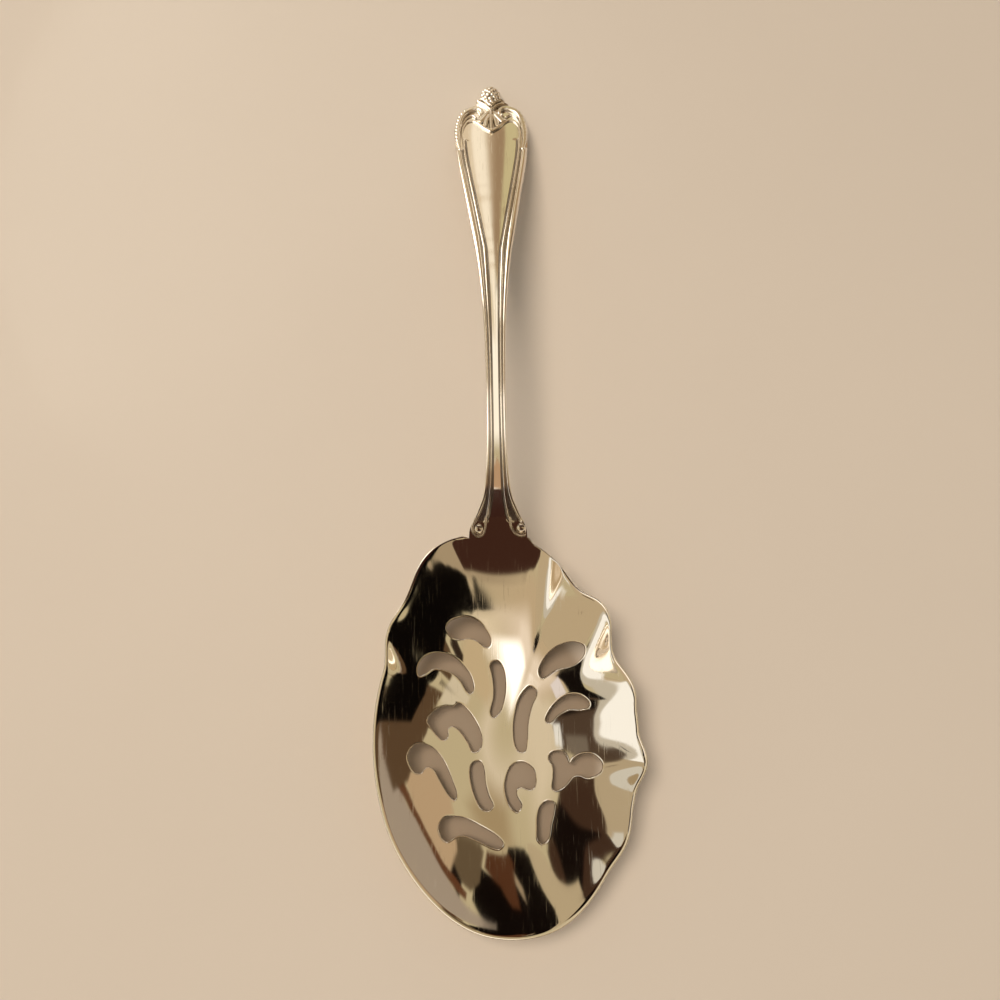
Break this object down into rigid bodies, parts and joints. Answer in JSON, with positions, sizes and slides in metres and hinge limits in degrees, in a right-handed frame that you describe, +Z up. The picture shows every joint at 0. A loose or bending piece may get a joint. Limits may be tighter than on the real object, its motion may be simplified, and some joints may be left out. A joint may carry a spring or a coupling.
{
  "type": "slotted serving spoon",
  "caption": "Slotted serving spoon: wide pierced bowl with a scalloped rim, threaded fiddle handle with a scroll and berry tip.",
  "frame": {"origin": "middle of the small flat under the bowl on which the spoon rests", "axes": "+Y from the bowl to the tip of the handle, +Z up out of the open bowl, +X across"},
  "size_m": [0.0633, 0.2302, 0.032],
  "materials": {
    "bowl_plate": "polished silver plate with fine scratches",
    "handle_plate": "polished silver plate, a little worn",
    "ornament_plate": "silver plate, dark in the recesses"
  },
  "bodies": {
    "root": {"bowl": "bowl_plate", "handle": "handle_plate", "heel": "handle_plate", "scroll_left": "ornament_plate", "scroll_right": "ornament_plate", "palmette": "ornament_plate", "calyx": "ornament_plate", "bud": "ornament_plate", "volute_left": "ornament_plate", "volute_right": "ornament_plate"}
  },
  "joints": []
}
